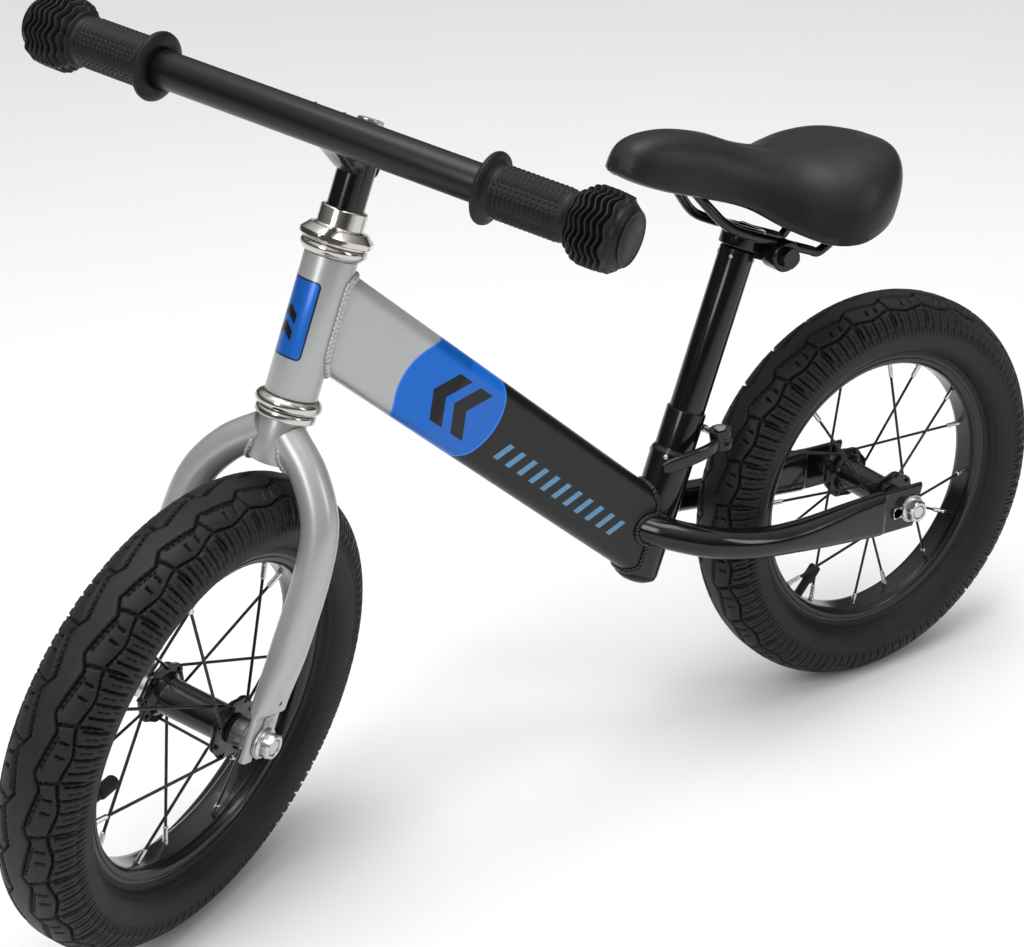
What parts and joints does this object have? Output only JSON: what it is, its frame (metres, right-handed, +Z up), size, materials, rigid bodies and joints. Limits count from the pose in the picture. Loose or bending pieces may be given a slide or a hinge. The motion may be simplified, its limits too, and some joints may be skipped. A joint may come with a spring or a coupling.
{
  "type": "balance bike",
  "caption": "Child's pedal-free bike with two air-tyred spoked wheels, silver fork and head tube, black two-tone frame, quill stem, rubber grips and a padded saddle on a quick-release post.",
  "frame": {"origin": "centre of the rear tyre's contact with the ground", "axes": "+X towards the front wheel, +Y to the rider's left along the rear axle, +Z up"},
  "size_m": [0.8221, 0.3497, 0.561],
  "materials": {
    "silver_paint": "satin silver enamel",
    "bright_plate": "bright plated steel",
    "frame_paint": "gloss black, silver towards the head tube",
    "black_paint": "gloss black enamel",
    "zinc": "zinc plated",
    "grip_rubber": "matt moulded rubber",
    "tyre_rubber": "matt black rubber",
    "rim_paint": "gloss black",
    "spoke_wire": "black wire with bright nipples",
    "black_plastic": "moulded plastic",
    "saddle_cover": "soft black synthetic leather"
  },
  "bodies": {
    "frame": {"head_tube": "silver_paint", "lower_headset_cup": "bright_plate", "upper_headset_cup": "bright_plate", "main_tube": "frame_paint", "left_stay": "black_paint", "right_stay": "black_paint", "rear_axle": "zinc", "rear_nut_left": "zinc", "rear_nut_right": "zinc", "seat_tube": "black_paint", "seat_tube_plug": "black_plastic", "seat_clamp": "black_paint", "clamp_skewer": "zinc"},
    "fork": {"fork_steerer": "silver_paint", "left_fork_blade": "silver_paint", "right_fork_blade": "silver_paint", "crown_race": "bright_plate", "headset_locknut": "bright_plate", "front_axle": "zinc", "front_nut_left": "zinc", "front_nut_right": "zinc"},
    "handlebar": {"stem": "black_paint", "stem_wedge": "zinc", "stem_bolt": "zinc", "handlebar": "black_paint", "left_grip": "grip_rubber", "right_grip": "grip_rubber"},
    "front_wheel": {"front_tyre": "tyre_rubber", "front_inner_tube": "tyre_rubber", "front_rim": "rim_paint", "front_hub": "rim_paint", "front_spokes_left_1": "spoke_wire", "front_spokes_left_2": "spoke_wire", "front_spokes_left_3": "spoke_wire", "front_spokes_left_4": "spoke_wire", "front_spokes_right_1": "spoke_wire", "front_spokes_right_2": "spoke_wire", "front_spokes_right_3": "spoke_wire", "front_spokes_right_4": "spoke_wire"},
    "rear_wheel": {"rear_tyre": "tyre_rubber", "rear_inner_tube": "tyre_rubber", "rear_rim": "rim_paint", "rear_hub": "rim_paint", "rear_spokes_left_1": "spoke_wire", "rear_spokes_left_2": "spoke_wire", "rear_spokes_left_3": "spoke_wire", "rear_spokes_left_4": "spoke_wire", "rear_spokes_right_1": "spoke_wire", "rear_spokes_right_2": "spoke_wire", "rear_spokes_right_3": "spoke_wire", "rear_spokes_right_4": "spoke_wire"},
    "clamp_lever": {"clamp_lever": "black_paint"},
    "seat_post": {"seat_post": "black_paint", "saddle_clamp": "black_paint", "saddle_clamp_bolt": "black_paint"},
    "saddle_cups": {"left_saddle_cup": "black_paint", "right_saddle_cup": "black_paint"},
    "saddle": {"saddle_rails": "black_paint", "saddle_base": "black_plastic", "saddle_cushion": "saddle_cover"}
  },
  "joints": [
    {"name": "steering", "type": "hinge", "parent": "frame", "child": "fork", "pos_m": [0.5309, 0, 0.15037], "axis": [-0.3795, 0, 0.9252], "range_deg": [-121.3, 58.7]},
    {"name": "front_wheel_spin", "type": "hinge", "parent": "fork", "child": "front_wheel", "pos_m": [0.53327, 0.00156, 0.15134], "axis": [-0.4807, 0.8545, -0.1971], "continuous": true},
    {"name": "rear_wheel_spin", "type": "hinge", "parent": "frame", "child": "rear_wheel", "pos_m": [0, 0, 0.152], "axis": [0, 1, 0], "continuous": true},
    {"name": "handlebar_height", "type": "slide", "parent": "fork", "child": "handlebar", "axis": [-0.3795, 0, 0.9252], "range_m": [-0.015, 0.035]},
    {"name": "seat_height", "type": "slide", "parent": "frame", "child": "seat_post", "axis": [-0.3665, 0, 0.9304], "range_m": [-0.035, 0.055]},
    {"name": "seat_clamp_lever", "type": "hinge", "parent": "frame", "child": "clamp_lever", "pos_m": [0.15263, 0.019, 0.2382], "axis": [0.1305, 0, 0.9914], "range_deg": [0, 140]},
    {"name": "saddle_tilt", "type": "hinge", "parent": "seat_post", "child": "saddle_cups", "pos_m": [0.105, 0, 0.36185], "axis": [0, 1, 0], "range_deg": [-10, 10]},
    {"name": "saddle_fore_aft", "type": "slide", "parent": "saddle_cups", "child": "saddle", "axis": [0.9304, 0, 0.3665], "range_m": [-0.008, 0.008]}
  ]
}
